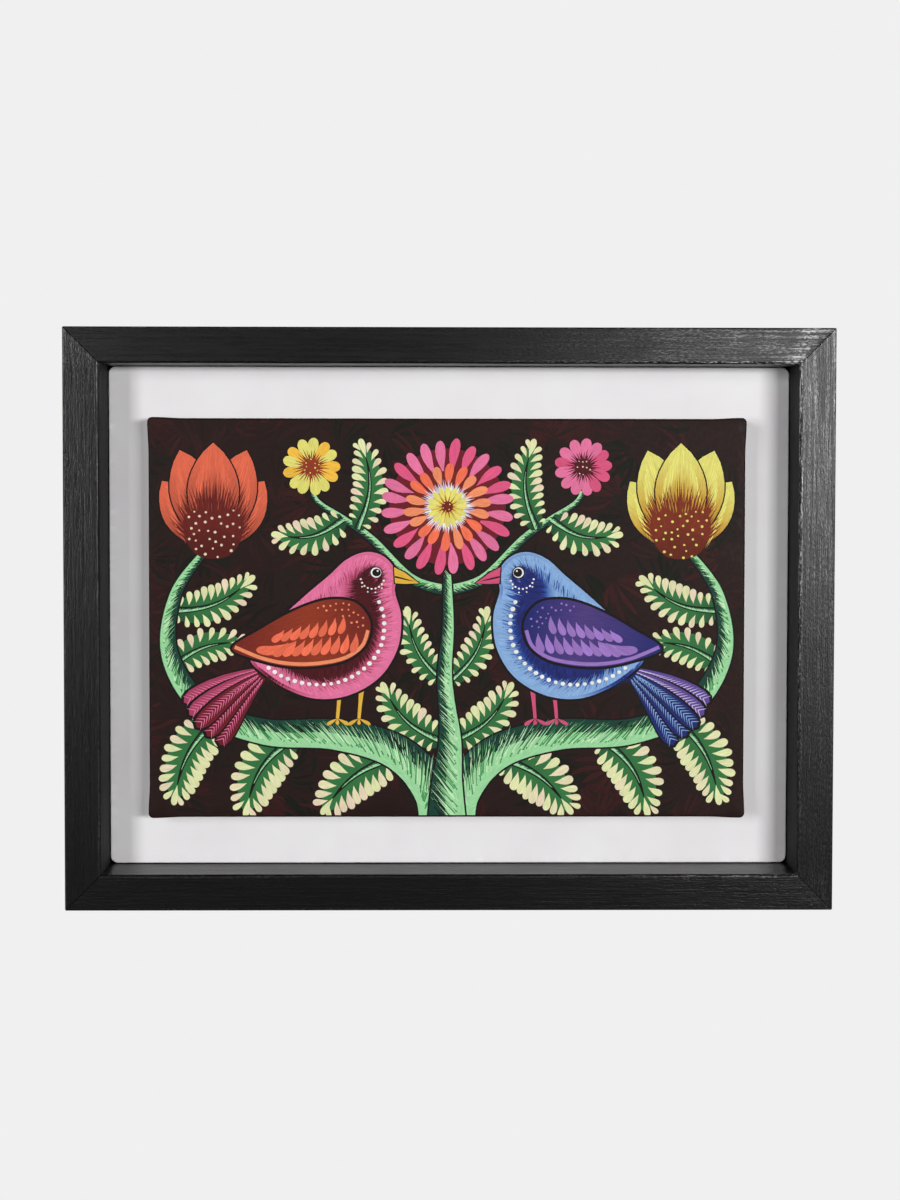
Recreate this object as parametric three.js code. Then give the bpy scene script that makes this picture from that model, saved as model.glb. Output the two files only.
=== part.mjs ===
// A wall hanging: a painted wooden panel fixed to a white board, which is set back in a deep
// black frame of four mitred rails. Each rail is L-shaped in section, with a ledge at the back
// that carries the board. Millimetres, +Z up, facing -Y, with the wall behind it at Y = 0.
// The origin is the middle of the top rail's back face, where the hanging is held to the wall.

import * as THREE from "three";
import { mergeVertices } from "three/addons/utils/BufferGeometryUtils.js";

// Painted panel
const PANEL_WIDTH = 300;
const PANEL_HEIGHT = 201.5;
const PANEL_THICKNESS = 15;
const PANEL_CORNER_RADIUS = 2.4;
const PANEL_EDGE_RADIUS = 1;
const PANEL_OFFSET_X = -1.2; // it was fixed a little left of the middle
const CORNER_FLARE = 0.6; // how far the corners stand out past the panel's straight sides
const FLARE_LENGTH = 16; // of side, from a corner to where the flare has died away

// Backing board
const MARGIN_SIDES = 23; // of board, left and right of the panel
const MARGIN_ENDS = 26; // of board, above and below the panel
const BOARD_THICKNESS = 8;
const BOARD_CORNER_RADIUS = 3.6;
const BOARD_EDGE_RADIUS = 1.4;
const BOARD_CLEARANCE = 0.5; // between the board's edge and the rails, on each side

// Rails of the frame
const RAIL_WIDTH = 17.8; // of the front face
const RECESS = 25; // from the front of the frame to the face of the board
const LEDGE_WIDTH = 9;
const LEDGE_THICKNESS = 5;
const ARRIS_RADIUS = 1; // of the two long front edges
const MITRE_GAP = 0.3; // between two rails, measured along the frame's side

// Sizes that follow
const BOARD_WIDTH = PANEL_WIDTH + 2 * MARGIN_SIDES;
const BOARD_HEIGHT = PANEL_HEIGHT + 2 * MARGIN_ENDS;
const FRAME_WIDTH = BOARD_WIDTH + 2 * (BOARD_CLEARANCE + RAIL_WIDTH);
const FRAME_HEIGHT = BOARD_HEIGHT + 2 * (BOARD_CLEARANCE + RAIL_WIDTH);
const FRAME_DEPTH = RECESS + BOARD_THICKNESS + LEDGE_THICKNESS;
const RAIL_BACK_WIDTH = RAIL_WIDTH + LEDGE_WIDTH;

// Places, from the origin in the middle of the top rail's back face
const FRAME_TOP_Z = RAIL_BACK_WIDTH / 2;
const FRAME_MIDDLE_Z = FRAME_TOP_Z - FRAME_HEIGHT / 2;
const FRAME_BOTTOM_Z = FRAME_TOP_Z - FRAME_HEIGHT;
const BOARD_BACK_Y = -LEDGE_THICKNESS;
const PANEL_BACK_Y = BOARD_BACK_Y - BOARD_THICKNESS;

// Fineness of curves
const ARRIS_STEPS = 4;
const EDGE_STEPS = 4;
const CORNER_STEPS = 6;
const FLARE_STEPS = 8;

const BLACK_WOOD = { color: 0x1e1d1e, roughness: 0.5, metalness: 0 };
const WHITE_PAINT = { color: 0xe4e2e3, roughness: 0.6, metalness: 0 };
const BROWN_PAINT = { color: 0x35211f, roughness: 0.45, metalness: 0 };

// Gives a bare geometry with shared vertices the normals that a material needs.
function finished(geometry) {
  geometry.deleteAttribute("normal");
  geometry.deleteAttribute("uv");
  const welded = mergeVertices(geometry);
  welded.computeVertexNormals();
  return welded;
}

// The rail's section: across from the outer edge inwards, and up from the back to the front.
function railSection() {
  const arris = Math.min(ARRIS_RADIUS, RAIL_WIDTH / 2);
  const section = new THREE.Shape();
  section.moveTo(0, 0);
  section.lineTo(RAIL_BACK_WIDTH, 0);
  section.lineTo(RAIL_BACK_WIDTH, LEDGE_THICKNESS);
  section.lineTo(RAIL_WIDTH, LEDGE_THICKNESS);
  section.absarc(RAIL_WIDTH - arris, FRAME_DEPTH - arris, arris, 0, Math.PI / 2);
  section.absarc(arris, FRAME_DEPTH - arris, arris, Math.PI / 2, Math.PI);
  section.closePath();
  return section;
}

// A rail lying along X with its outer edge at Z = 0, its ends cut at 45 degrees for the mitres.
function railGeometry(outerLength) {
  const options = { depth: 1, bevelEnabled: false, curveSegments: ARRIS_STEPS };
  const geometry = new THREE.ExtrudeGeometry(railSection(), options);
  const places = geometry.attributes.position;
  for (let i = 0; i < places.count; i++) {
    const inwards = places.getX(i);
    const forwards = places.getY(i);
    const side = places.getZ(i) > 0.5 ? -1 : 1;
    const halfLength = outerLength / 2 - inwards - MITRE_GAP / 2;
    places.setXYZ(i, side * halfLength, -forwards, -inwards);
  }
  return finished(geometry);
}

// How far a side stands in from the corners' outermost line, at a distance from the corner.
function waist(distance, flare) {
  const along = Math.min(distance / FLARE_LENGTH, 1);
  return flare * (1 - Math.cos(Math.PI * along)) / 2;
}

// Points of a rectangle with round corners, drawn in by inset, anticlockwise from above right.
// With a flare, its four sides are drawn in a little between the corners.
function outline(width, height, radius, inset, flare) {
  const bend = Math.max(Math.min(radius, width / 2, height / 2) - inset, 0.01);
  const halfWidth = width / 2 - inset;
  const halfHeight = height / 2 - inset;
  const points = [];
  for (let corner = 0; corner < 4; corner++) {
    const signX = corner === 0 || corner === 3 ? 1 : -1;
    const signZ = corner < 2 ? 1 : -1;
    const middleX = signX * (halfWidth - bend);
    const middleZ = signZ * (halfHeight - bend);
    for (let step = 0; step <= CORNER_STEPS; step++) {
      const angle = (corner + step / CORNER_STEPS) * Math.PI / 2;
      points.push([middleX + bend * Math.cos(angle), middleZ + bend * Math.sin(angle)]);
    }
    const runsAlongX = corner % 2 === 0;
    const length = 2 * ((runsAlongX ? halfWidth : halfHeight) - bend);
    for (let step = 1; flare > 0 && step < 2 * FLARE_STEPS; step++) {
      const fromStart = step <= FLARE_STEPS;
      const steps = fromStart ? step : 2 * FLARE_STEPS - step;
      const reach = Math.min(FLARE_LENGTH, length / 2) * steps / FLARE_STEPS;
      const along = fromStart ? reach : length - reach;
      const drawnIn = waist(reach, flare);
      points.push(runsAlongX
        ? [middleX - signX * along, signZ * (halfHeight - drawnIn)]
        : [signX * (halfWidth - drawnIn), middleZ - signZ * along]);
    }
  }
  return points;
}

// A flat plate facing -Y with its back at Y = 0 and its front edge rounded over.
function plateGeometry(width, height, thickness, cornerRadius, edgeRadius, flare) {
  const eased = Math.min(edgeRadius, thickness / 2);
  const levels = [[0, 0]];
  for (let step = 0; step <= EDGE_STEPS; step++) {
    const angle = step / EDGE_STEPS * Math.PI / 2;
    levels.push([eased * (1 - Math.cos(angle)), thickness - eased * (1 - Math.sin(angle))]);
  }
  const rings = levels.map(([inset]) => outline(width, height, cornerRadius, inset, flare));
  const count = rings[0].length;
  const places = rings.flatMap((ring, level) => (
    ring.flatMap(([x, z]) => [x, -levels[level][1], z])));
  const faces = [];
  for (let level = 0; level + 1 < rings.length; level++) {
    for (let i = 0; i < count; i++) {
      const next = (i + 1) % count;
      const [a, b] = [level * count + i, level * count + next];
      faces.push(a, b, a + count, b, b + count, a + count);
    }
  }
  const front = (rings.length - 1) * count;
  const cap = (ring) => THREE.ShapeUtils.triangulateShape(
    ring.map(([x, z]) => new THREE.Vector2(x, z)), []);
  for (const [a, b, c] of cap(rings[0])) faces.push(a, c, b);
  for (const [a, b, c] of cap(rings.at(-1))) faces.push(front + a, front + b, front + c);
  const geometry = new THREE.BufferGeometry();
  geometry.setAttribute("position", new THREE.Float32BufferAttribute(places, 3));
  geometry.setIndex(faces);
  return finished(geometry);
}

function piece(name, geometry, look) {
  const mesh = new THREE.Mesh(geometry, new THREE.MeshStandardMaterial(look));
  mesh.name = name;
  return mesh;
}

// One rail, turned about the viewing direction so that its outer edge faces outwards.
function rail(name, outerLength, x, z, turn) {
  const mesh = piece(name, railGeometry(outerLength), BLACK_WOOD);
  mesh.position.set(x, 0, z);
  mesh.rotation.y = turn;
  return mesh;
}

function frame() {
  const group = new THREE.Group();
  group.add(rail("rail_top", FRAME_WIDTH, 0, FRAME_TOP_Z, 0));
  group.add(rail("rail_right", FRAME_HEIGHT, FRAME_WIDTH / 2, FRAME_MIDDLE_Z, Math.PI / 2));
  group.add(rail("rail_bottom", FRAME_WIDTH, 0, FRAME_BOTTOM_Z, Math.PI));
  group.add(rail("rail_left", FRAME_HEIGHT, -FRAME_WIDTH / 2, FRAME_MIDDLE_Z, -Math.PI / 2));
  return group;
}

function backingBoard() {
  const mesh = piece("backing_board", plateGeometry(
    BOARD_WIDTH, BOARD_HEIGHT, BOARD_THICKNESS, BOARD_CORNER_RADIUS, BOARD_EDGE_RADIUS, 0,
  ), WHITE_PAINT);
  mesh.position.set(0, BOARD_BACK_Y, FRAME_MIDDLE_Z);
  return mesh;
}

function paintedPanel() {
  const mesh = piece("painted_panel", plateGeometry(
    PANEL_WIDTH, PANEL_HEIGHT, PANEL_THICKNESS, PANEL_CORNER_RADIUS, PANEL_EDGE_RADIUS,
    CORNER_FLARE,
  ), BROWN_PAINT);
  mesh.position.set(PANEL_OFFSET_X, PANEL_BACK_Y, FRAME_MIDDLE_Z);
  return mesh;
}

const wallHanging = new THREE.Group();
wallHanging.add(frame(), backingBoard(), paintedPanel());

export default wallHanging;
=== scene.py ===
"""A painted wooden wall hanging: four black mitred rails round a white board and a dark painted panel.

Lengths named _MM and everything in the painting are in millimetres. The rest is in metres.
"""
import random
from collections import namedtuple
from math import ceil, cos, hypot, log, pi, radians, sin

import bpy
import numpy as np
from mathutils import Matrix, Vector
from mathutils.bvhtree import BVHTree
from mathutils.geometry import delaunay_2d_cdt


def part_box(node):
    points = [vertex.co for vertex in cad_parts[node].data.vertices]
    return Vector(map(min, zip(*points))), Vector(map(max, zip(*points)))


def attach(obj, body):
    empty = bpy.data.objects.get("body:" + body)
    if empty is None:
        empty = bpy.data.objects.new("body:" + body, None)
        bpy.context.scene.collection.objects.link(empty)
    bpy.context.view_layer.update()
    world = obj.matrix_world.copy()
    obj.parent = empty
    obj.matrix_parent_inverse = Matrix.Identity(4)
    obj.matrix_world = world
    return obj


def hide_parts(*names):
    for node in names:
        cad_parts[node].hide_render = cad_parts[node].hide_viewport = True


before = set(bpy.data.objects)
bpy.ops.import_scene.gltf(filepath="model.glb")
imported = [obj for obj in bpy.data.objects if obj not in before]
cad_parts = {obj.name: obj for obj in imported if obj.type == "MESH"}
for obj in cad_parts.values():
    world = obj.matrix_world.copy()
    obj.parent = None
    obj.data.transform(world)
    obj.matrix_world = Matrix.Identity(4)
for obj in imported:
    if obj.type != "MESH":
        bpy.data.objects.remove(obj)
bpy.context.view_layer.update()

MM = 0.001

# Sizes that the nodes' boxes don't tell
RAIL_FACE_MM = 17.8
LEDGE_THICKNESS_MM = 5.0
ARRIS_MM = 1.0
MITRE_GAP_MM = 0.02
MITRE_GROOVE_MM = 0.3  # the fine groove that shows where two rails meet
INNER_WALL_PROUD_MM = 0.19  # of the solid's wall, so that the gap round the board looks fine
BOARD_CORNER_MM = 3.6
BOARD_EDGE_MM = 0.8
BOARD_WAVE_MM = 0.12
PANEL_CORNER_MM = 2.4
PANEL_EDGE_MM = 1.0
PANEL_FLARE_MM = 0.6
PANEL_FLARE_LENGTH_MM = 16.0

# Fineness of the meshes
RAIL_STEP_MM = 1.5
BOARD_STEP_MM = 4.0
OUTLINE_STEP_MM = 2.0
CORNER_STEPS = 7
ARRIS_STEPS = 5
SHARP_DEG = 35  # where two faces meet at more than this, their edge shows
MERGING_MM = 1e-5  # points nearer than this are one
THINNING_MM = 0.03  # the most that a line in the picture moves where its points are thinned out
THINNING_ROUNDS = 5

# Each rail is turned a quarter further clockwise than the one before
RAILS = ("rail_top", "rail_right", "rail_bottom", "rail_left")
INNER_WALL_DULLNESS = {"rail_top": 0.3, "rail_right": 1.0, "rail_bottom": 0.05, "rail_left": 1.0}
OUTER_SIDE_DULLNESS = 0.8
FIRST_RAIL_SEED = 11
NOISE_CELLS = (220, 120)  # along and across, before the noise repeats

# The photograph's camera
IMAGE_HEIGHT_PX = 1200
FOCAL_PX = 1746.6
CAMERA_PLACE = (-0.0089, -0.9019, -0.0550)
CAMERA_TURN_DEG = (-1.752, -0.073, -0.590)  # a rotation vector, from looking level along +Y
CAMERA_SHIFT_PX = -81  # the picture's middle is this far from where the lens points, up being positive
SENSOR_MM = 36

# The studio
ROOM_GREY = 66
BACKDROP_GREY = 240
FLOOR_Z = -1.5


def box_of(node):
    """A node's lowest and highest corners as vectors, in millimetres."""
    low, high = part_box(node)
    return np.array(low) / MM, np.array(high) / MM


def linear(level):
    """One sRGB level, 0 to 255, as linear light."""
    share = level / 255
    return share / 12.92 if share <= 0.04045 else ((share + 0.055) / 1.055) ** 2.4


def rgb(red, green, blue):
    """An sRGB colour, each channel 0 to 255, as linear light."""
    return np.array([linear(red), linear(green), linear(blue)])


def grey(level):
    return rgb(level, level, level)


def place_camera():
    camera = bpy.data.objects.new("camera", bpy.data.cameras.new("camera"))
    camera.data.sensor_width = SENSOR_MM
    camera.data.lens = FOCAL_PX / IMAGE_HEIGHT_PX * SENSOR_MM
    camera.data.shift_y = CAMERA_SHIFT_PX / IMAGE_HEIGHT_PX
    turn = Vector([radians(angle) for angle in CAMERA_TURN_DEG])
    level = Matrix.Rotation(pi / 2, 4, "X")
    turned = Matrix.Rotation(turn.length, 4, turn.normalized())
    camera.matrix_world = Matrix.Translation(CAMERA_PLACE) @ turned @ level
    bpy.context.scene.collection.objects.link(camera)
    bpy.context.scene.camera = camera


# Materials

def feed(tree, target, inputs):
    """Gives a node's inputs their values, or links them to other nodes' outputs."""
    for name, value in inputs.items():
        if isinstance(value, bpy.types.NodeSocket):
            tree.links.new(value, target.inputs[name])
        else:
            target.inputs[name].default_value = value


def node(tree, kind, inputs=None, **settings):
    """A new shader node with its inputs and settings."""
    made = tree.nodes.new("ShaderNode" + kind)
    for name, value in settings.items():
        setattr(made, name, value)
    feed(tree, made, inputs or {})
    return made


def mixed(tree, factor, first, second, way="MIX"):
    """Two colours mixed by a factor. A colour has three channels, or is another node's output."""
    inputs = {0: factor}
    for index, colour in ((6, first), (7, second)):
        inputs[index] = colour if isinstance(colour, bpy.types.NodeSocket) else (*colour, 1.0)
    return node(tree, "Mix", inputs, data_type="RGBA", blend_type=way).outputs[2]


def noise(tree, place, stretch, detail=3.0, roughness=0.55):
    """Noise from about 0 to 1, which is finer along a coordinate that is stretched more."""
    stretched = node(tree, "Mapping", {"Vector": place, "Scale": stretch}).outputs["Vector"]
    inputs = {"Vector": stretched, "Scale": 1.0, "Detail": detail, "Roughness": roughness}
    return node(tree, "TexNoise", inputs).outputs["Fac"]


def ranged(tree, value, low, high, to_low=0.0, to_high=1.0):
    """A number's range low to high spread over another, with the ends held."""
    return node(tree, "MapRange", {0: value, 1: low, 2: high, 3: to_low, 4: to_high}).outputs[0]


def plus(tree, first, second):
    return node(tree, "Math", {0: first, 1: second}, operation="ADD").outputs[0]


def times(tree, first, second):
    return node(tree, "Math", {0: first, 1: second}, operation="MULTIPLY").outputs[0]


def named(tree, name, kind="Fac"):
    """What the mesh holds under a name."""
    return node(tree, "Attribute", attribute_name=name).outputs[kind]


def bump(tree, height, distance, strength=1.0):
    inputs = {"Height": height, "Distance": distance, "Strength": strength}
    return node(tree, "Bump", inputs).outputs["Normal"]


def started(name):
    """A new material with its node tree and main shader."""
    made = bpy.data.materials.new(name)
    made.use_nodes = True
    return made, made.node_tree, made.node_tree.nodes["Principled BSDF"]


def black_stain():
    """Black stained wood with a satin sheen, brushed along its grain and rubbed pale in a few places. The
    pale colour also carries a painted sheen: streaks of it put into the colour towards the upper right.
    """
    made, tree, shader = started("black_stain")
    grain = named(tree, "grain", "Vector")
    streaks = noise(tree, grain, (0.012, 0.7, 1.0), 3.0, 0.5)
    fibres = noise(tree, grain, (0.08, 2.0, 1.0), 2.0, 0.5)
    flecks = noise(tree, grain, (0.5, 1.3, 1.0), 2.0, 0.6)
    blotches = noise(tree, grain, (0.03, 0.16, 1.0))
    both = plus(tree, times(tree, streaks, 0.5), times(tree, fibres, 0.5))
    line = ranged(tree, both, 0.42, 0.6)
    fleck = ranged(tree, flecks, 0.45, 0.62)
    deep = mixed(tree, ranged(tree, blotches, 0.35, 0.65), grey(6), rgb(11, 10, 11))
    brushed = mixed(tree, ranged(tree, line, 0.3, 1.0, 0.0, 0.5), deep, rgb(20, 19, 21))
    # Pale grey for rubbed wood, and also a painted sheen where the rails' colour stands in for the light's
    # reflection
    rubbed_and_sheen = mixed(tree, line, rgb(112, 110, 112), rgb(200, 198, 201))
    broken = ranged(tree, plus(tree, line, fleck), 0.7, 1.7, 0.0, 1.9)
    satin = ranged(tree, plus(tree, line, blotches), 0.5, 1.5, 0.35, 0.26)
    feed(tree, shader, {
        "Base Color": mixed(tree, times(tree, named(tree, "wear_and_sheen"), broken), brushed, rubbed_and_sheen),
        "Roughness": plus(tree, satin, times(tree, named(tree, "dull"), 0.4)),
        "Specular IOR Level": 0.29,
        "Normal": bump(tree, plus(tree, both, times(tree, flecks, 0.5)), 0.00016),
    })
    return made


def white_paint():
    """White paint, brushed on by hand over a smooth board."""
    made, tree, shader = started("white_paint")
    place = node(tree, "TexCoord").outputs["Object"]
    brush = noise(tree, place, (60.0, 60.0, 700.0))
    clouds = noise(tree, place, (22.0, 22.0, 22.0))
    clean = mixed(tree, ranged(tree, clouds, 0.35, 0.65), rgb(231, 228, 230), rgb(236, 235, 236))
    feed(tree, shader, {
        "Base Color": mixed(tree, times(tree, named(tree, "edge"), 0.5), clean, rgb(196, 192, 190)),
        "Roughness": ranged(tree, brush, 0.3, 0.7, 0.5, 0.62),
        "Specular IOR Level": 0.35,
        "Normal": bump(tree, brush, 0.0001, 0.25),
    })
    return made


def artist_paint():
    """Paint in many colours, held on the mesh, with the brush's ridges along each stroke."""
    made, tree, shader = started("artist_paint")
    bristle = named(tree, "bristle", "Vector")
    ridges = noise(tree, bristle, (0.22, 3.2, 1.0), 3.0, 0.6)
    weave = noise(tree, bristle, (0.8, 0.8, 1.0), 2.0)
    paint = named(tree, "paint", "Color")
    thin = mixed(tree, 1.0, paint, (0.78, 0.78, 0.8), "MULTIPLY")
    feed(tree, shader, {
        "Base Color": mixed(tree, ranged(tree, ridges, 0.36, 0.6), thin, paint),
        "Roughness": ranged(tree, weave, 0.3, 0.7, 0.48, 0.6),
        "Specular IOR Level": 0.12,
        "Normal": bump(tree, ridges, 0.00005, 0.8),
    })
    return made


def floor_paint():
    made, tree, shader = started("floor_paint")
    clouds = noise(tree, node(tree, "TexCoord").outputs["Object"], (3.0, 3.0, 3.0), 2.0)
    colour = mixed(tree, ranged(tree, clouds, 0.3, 0.7), grey(226), grey(230))
    feed(tree, shader, {"Base Color": colour, "Roughness": 0.9})
    return made


# Meshes

def toward(angle):
    """The unit direction at an angle, anticlockwise from the first axis."""
    return np.array([cos(angle), sin(angle)])


def left_turned(ways):
    """One direction, or each of several, turned a quarter turn to the left."""
    return np.stack([-ways[..., 1], ways[..., 0]], -1)


def unit(ways):
    """Several directions, each at a length of one."""
    return ways / np.maximum(np.linalg.norm(ways, axis=1, keepdims=True), 1e-9)


def lengths_along(line):
    """How far along a line of points each point is."""
    return np.concatenate([[0], np.cumsum(np.linalg.norm(np.diff(line, axis=0), axis=1))])


def value_noise(seed, along, across, cell_along, cell_across):
    """Smooth random heights, 0 to 1, over long or short cells, the same for the same seed."""
    heights = np.random.default_rng(seed).random(NOISE_CELLS)
    x = along / cell_along % NOISE_CELLS[0]
    y = across / cell_across % NOISE_CELLS[1]
    column, row = np.floor(x).astype(int), np.floor(y).astype(int)
    u, v = x - column, y - row
    u, v = u * u * (3 - 2 * u), v * v * (3 - 2 * v)
    column, next_column = column % NOISE_CELLS[0], (column + 1) % NOISE_CELLS[0]
    row, next_row = row % NOISE_CELLS[1], (row + 1) % NOISE_CELLS[1]
    lower = heights[column, row] * (1 - u) + heights[next_column, row] * u
    upper = heights[column, next_row] * (1 - u) + heights[next_column, next_row] * u
    return lower * (1 - v) + upper * v


def new_piece(name, points_mm, faces, material, replaces):
    """A mesh object that rides on the one body and stands for a CAD node."""
    mesh = bpy.data.meshes.new(name)
    mesh.from_pydata((np.asarray(points_mm) * MM).tolist(), [], faces)
    mesh.polygons.foreach_set("use_smooth", [True] * len(faces))
    mesh.set_sharp_from_angle(angle=radians(SHARP_DEG))
    mesh.materials.append(material)
    made = bpy.data.objects.new(name, mesh)
    bpy.context.scene.collection.objects.link(made)
    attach(made, "root")
    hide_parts(replaces)
    return made


def hold(made, name, domain, values):
    """Keeps numbers, vectors or colours on a piece's mesh, for its material to read."""
    values = np.asarray(values, np.float32)
    kinds = {1: ("FLOAT", "value"), 3: ("FLOAT_VECTOR", "vector"), 4: ("FLOAT_COLOR", "color")}
    kind, key = kinds[values.size // len(values)]
    made.data.attributes.new(name, kind, domain).data.foreach_set(key, values.ravel())


def lines_between(start, end, step):
    """Points from start towards end, the end left out, at most a step apart."""
    start, end = np.array([start, end], float)
    count = max(1, ceil(np.linalg.norm(end - start) / step))
    return [start + (end - start) * i / count for i in range(count)]


def quarter_turn(middle, radius, from_angle):
    """Points of an arc that goes clockwise by a quarter turn, its last point left out."""
    angles = [from_angle - pi / 2 * i / ARRIS_STEPS for i in range(ARRIS_STEPS)]
    return [np.array(middle) + radius * toward(angle) for angle in angles]


def outward_normals(outline):
    """The outward direction at each point of a closed outline."""
    ahead = unit(np.roll(outline, -1, axis=0) - np.roll(outline, 1, axis=0))
    return left_turned(ahead) * (-1 if doubled_area(outline) > 0 else 1)


def doubled_area(outline):
    """Twice a closed outline's area, which is below 0 where it runs clockwise."""
    x, z = outline.T
    return np.sum(x * np.roll(z, -1) - z * np.roll(x, -1))


def triangulated(points, lines, areas, kind):
    """Points and triangles that keep to lines and areas, each point's sources and each triangle's areas."""
    vectors = [Vector(point) for point in points]
    flat, _, faces, sources, _, owners = delaunay_2d_cdt(vectors, lines, areas, kind, MERGING_MM, True)
    return np.array([tuple(point) for point in flat]), [tuple(face) for face in faces], sources, owners


def sleeve(rows):
    """Faces between closed rows of points that follow each other."""
    faces = []
    for one, two in zip(rows, rows[1:]):
        for i in range(len(one)):
            j = (i + 1) % len(one)
            faces.append((one[i], two[i], two[j], one[j]))
    return faces


# Rails

def frame_box():
    lows, highs = zip(*(box_of(name) for name in RAILS))
    return np.min(lows, axis=0), np.max(highs, axis=0)


def rail_section(back_width, depth):
    """The rail's section, as (inwards, forwards) points from the outer back edge, going forwards."""
    face, ledge, arris = RAIL_FACE_MM, LEDGE_THICKNESS_MM, ARRIS_MM
    points = lines_between((0, 0), (0, depth - arris), 2.0)
    points += quarter_turn((arris, depth - arris), arris, pi)
    points += lines_between((arris, depth), (face - arris, depth), 0.4)
    points += quarter_turn((face - arris, depth - arris), arris, pi / 2)
    points += lines_between((face, depth - arris), (face, ledge), 1.6)
    points += lines_between((face, ledge), (back_width, ledge), 4.0)
    points += lines_between((back_width, ledge), (back_width, 0), 2.5)
    points += lines_between((back_width, 0), (0, 0), 5.0)
    return np.array(points)


def rail_wear_and_sheen(name, inwards, forwards, x, z, half_size):
    """How far each point of a rail is rubbed back to grey or given a painted sheen, 0 for not at all. Most
    of it is above right, and most of that is painted sheen and highlight where the key light's reflection
    falls; the rubbed arrises, the rubbed patch by the top mitre and the chips are wear.
    """
    on_face = (forwards > forwards.max() - 1.5).astype(float)
    inner_arris = np.exp(-((inwards - RAIL_FACE_MM + 0.6) / 0.7) ** 2) * on_face
    outer_arris = np.exp(-((inwards - 0.4) / 0.6) ** 2) * on_face
    right = np.clip(x / half_size[0], 0, 1)
    high = np.clip(0.5 + 0.5 * z / half_size[1], 0, 1)
    patches = value_noise(31, x + 400, z + 400, 9.0, 9.0)
    sheen_above_right = right * high
    # Painted highlight along the inner arris and painted sheen over the face, both strongest at the upper
    # right
    wear_and_sheen = 0.05 * outer_arris + (0.03 + 1.3 * sheen_above_right ** 2) * inner_arris
    wear_and_sheen = wear_and_sheen + on_face * (0.003 + 0.02 * right ** 4 + 0.27 * sheen_above_right ** 2) * (0.4 + patches)
    if name == "rail_bottom":
        wear_and_sheen = wear_and_sheen + 0.5 * inner_arris * right ** 3 * value_noise(32, x + 400, z + 400, 2.5, 2.5)
    if name == "rail_top":
        rubbed_x = half_size[0] - 18.5 + 0.28 * (RAIL_FACE_MM - inwards)
        wear_and_sheen = wear_and_sheen + on_face * 0.7 * np.exp(-((x - rubbed_x) / 3.4) ** 2)
    if name == "rail_left":
        from_top = half_size[1] - z
        wear_and_sheen = wear_and_sheen + on_face * 0.1 * np.clip((21 - from_top) / 3, 0, 1)
    return np.maximum(wear_and_sheen, 0)


def smudge(inwards, forwards, from_mitre):
    """How far the top rail is covered by the dull black smudge beside its right mitre."""
    beside = np.exp(-(from_mitre / 2.2) ** 2)
    return beside * np.exp(-((inwards - 7.0) / 6.0) ** 2) * (forwards > LEDGE_THICKNESS_MM + 20)


def make_rail(name, material, quarter_turns):
    """A rail, made lying along X as the top one does, and then turned into its place."""
    low, high = box_of("rail_top")
    frame_low, frame_high = frame_box()
    middle = (frame_low + frame_high) / 2
    half_size = (frame_high - frame_low)[[0, 2]] / 2
    upright = quarter_turns % 2
    length = (frame_high - frame_low)[2 if upright else 0]
    reach = (frame_high - middle)[0 if upright else 2]
    depth = high[1] - low[1]
    seed = FIRST_RAIL_SEED + quarter_turns
    # Every point's place on the section, and its share of the half length
    section = rail_section(high[2] - low[2], depth)
    steps = ceil(length / RAIL_STEP_MM)
    inner_share = 1 - 2 * MITRE_GROOVE_MM / length
    stations = np.concatenate([[-1], np.linspace(-inner_share, inner_share, steps - 1), [1]])
    share = np.repeat(stations, len(section))
    is_end = np.abs(share) == 1
    across = np.tile(np.arange(len(section)), steps + 1)
    plain = section[across]
    unrolled = lengths_along(section)[across]
    # The ends are eased, which leaves a fine groove at each mitre
    eased = plain - outward_normals(section)[across] * (MITRE_GROOVE_MM * is_end)[:, None]
    inwards, forwards = eased.T.copy()
    along = share * (length / 2 - inwards - MITRE_GAP_MM / 2)
    # Brushed grooves along the grain, and slow waves
    grooves = value_noise(seed, along, unrolled, 12.0, 0.9)
    waves = value_noise(seed + 1, along, unrolled, 26.0, 8.0)
    on_face = (forwards > depth - 0.01) & (inwards > ARRIS_MM * 0.9) & ~is_end
    forwards = forwards - on_face * (0.03 * grooves ** 2 + 0.06 * waves)
    inner_side = (inwards > RAIL_FACE_MM - 0.01) & (forwards > LEDGE_THICKNESS_MM + 0.1) & ~is_end
    inwards = inwards + inner_side * (INNER_WALL_PROUD_MM + 0.03 * grooves + 0.08 * waves)
    outer_side = inwards < 0.01
    inwards = inwards + outer_side * (forwards > 1) * (0.03 * grooves + 0.1 * waves)
    # Turned into place
    cosine, sine = toward(quarter_turns * pi / 2)
    x = along * cosine + (reach - inwards) * sine
    z = (reach - inwards) * cosine - along * sine
    points = np.stack([x + middle[0], -forwards, z + middle[2]], 1)
    rows = [range(start, start + len(section)) for start in range(0, len(points), len(section))]
    faces = sleeve(rows) + [tuple(rows[0]), tuple(rows[-1][::-1])]
    made = new_piece(name + "_wood", points, faces, material, name)
    # Wear, with painted sheen and highlight mixed in
    wear_and_sheen = rail_wear_and_sheen(name, *plain.T, x, z, half_size)
    dull = inner_side * INNER_WALL_DULLNESS[name] + outer_side * OUTER_SIDE_DULLNESS
    if name == "rail_top":
        smudged = smudge(*plain.T, half_size[0] - x - plain[:, 0])
        wear_and_sheen = wear_and_sheen * (1 - 0.7 * smudged)
        dull = dull + 0.6 * smudged
    hold(made, "grain", "POINT", np.stack([along, unrolled, np.full(len(along), seed * 37.0)], 1))
    hold(made, "wear_and_sheen", "POINT", wear_and_sheen)
    hold(made, "dull", "POINT", dull)


def make_rails():
    stain = black_stain()
    for quarter_turns, name in enumerate(RAILS):
        make_rail(name, stain, quarter_turns)


# Plates

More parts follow.
